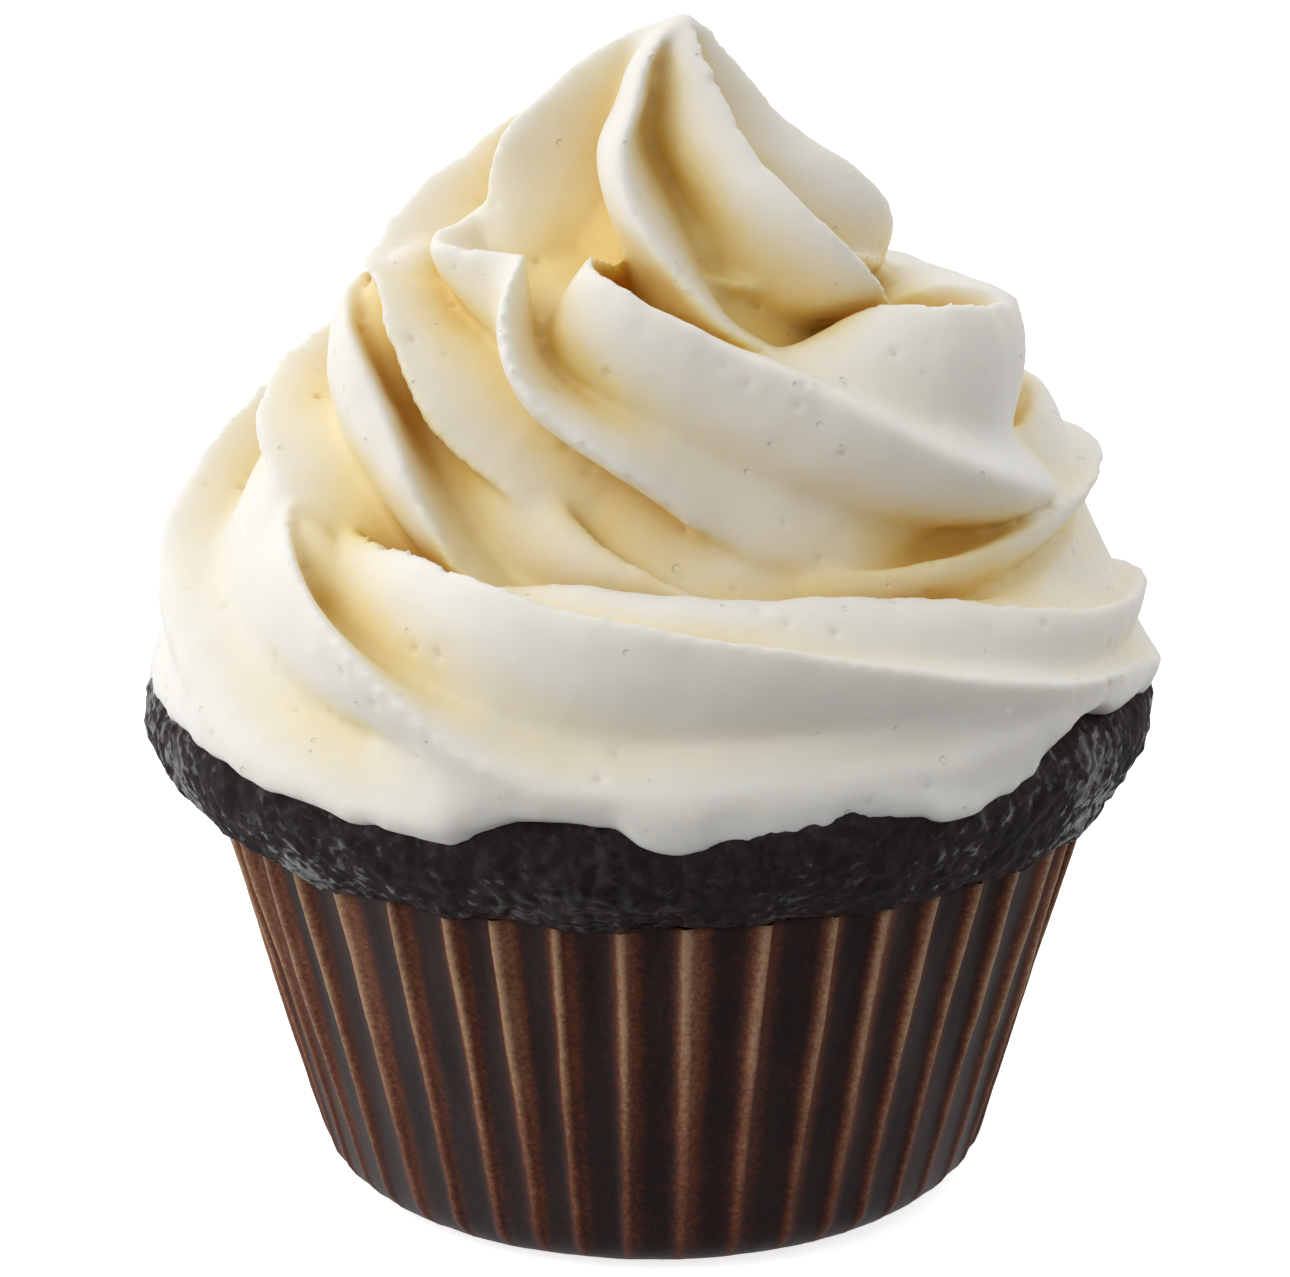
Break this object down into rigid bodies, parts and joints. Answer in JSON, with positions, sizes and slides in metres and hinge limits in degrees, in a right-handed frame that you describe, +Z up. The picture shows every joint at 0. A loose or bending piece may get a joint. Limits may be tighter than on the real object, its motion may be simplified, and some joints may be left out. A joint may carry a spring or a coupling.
{
  "type": "cupcake",
  "caption": "Chocolate cupcake in a pleated brown paper case, topped with a tall spiral of pale piped buttercream.",
  "frame": {"origin": "middle of the paper case's flat base, on the table", "axes": "+Z up through the swirl's peak, the front faces -Y, +X to the right seen from the front"},
  "size_m": [0.0768, 0.0776, 0.0895],
  "materials": {
    "greaseproof_paper": "brown greaseproof paper, pleated and pressed, darkened where it sticks to the cake",
    "chocolate_sponge": "baked chocolate sponge, near black, pebbly crust with small moist glints",
    "vanilla_buttercream": "whipped vanilla buttercream, ivory, soft satin with small air holes"
  },
  "bodies": {
    "root": {"paper_case": "greaseproof_paper", "cake": "chocolate_sponge", "buttercream_swirl": "vanilla_buttercream"}
  },
  "joints": []
}
